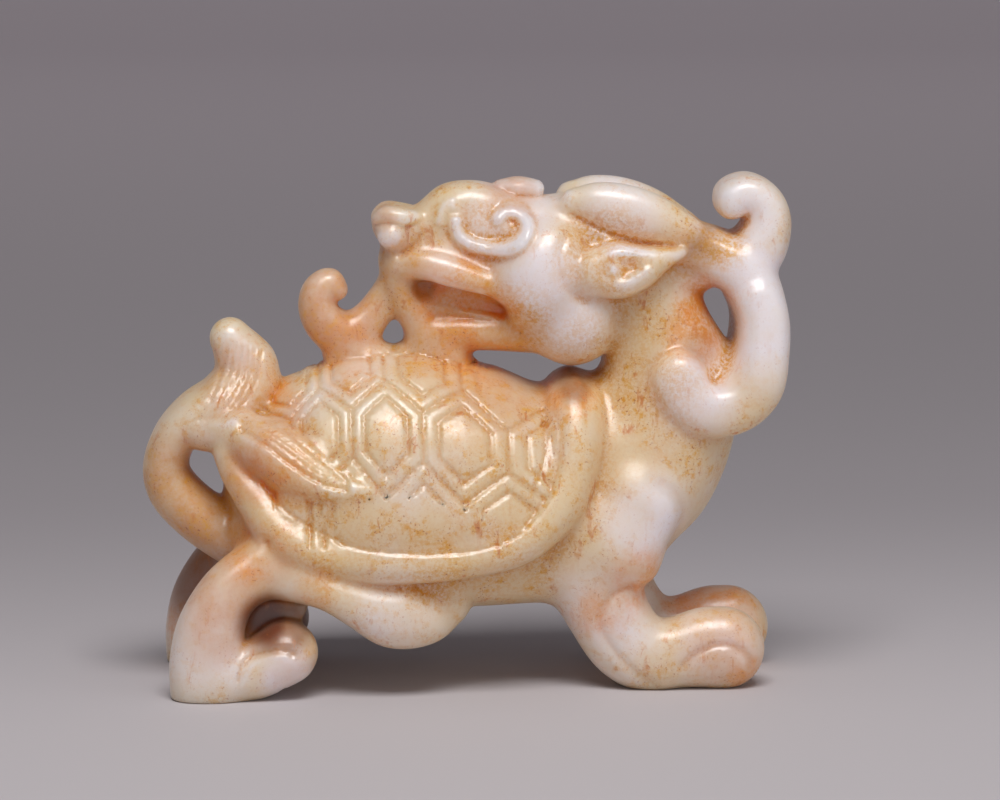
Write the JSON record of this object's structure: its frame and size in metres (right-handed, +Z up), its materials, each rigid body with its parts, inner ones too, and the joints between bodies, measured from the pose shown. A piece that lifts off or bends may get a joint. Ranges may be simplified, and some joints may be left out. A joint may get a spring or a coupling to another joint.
{
  "type": "jade dragon turtle carving",
  "caption": "Small carved jade figure of a dragon turtle standing on bent legs, its horned dragon head turned back over the shell.",
  "frame": {"origin": "middle of the bounding box, on the plane that the four soles stand on", "axes": "+X along the body towards the chest, +Y across to the far side, +Z up"},
  "size_m": [0.0648, 0.027, 0.0508],
  "materials": {
    "jade": "polished, slightly translucent"
  },
  "bodies": {
    "root": {"dragon_turtle": "jade"}
  },
  "joints": []
}
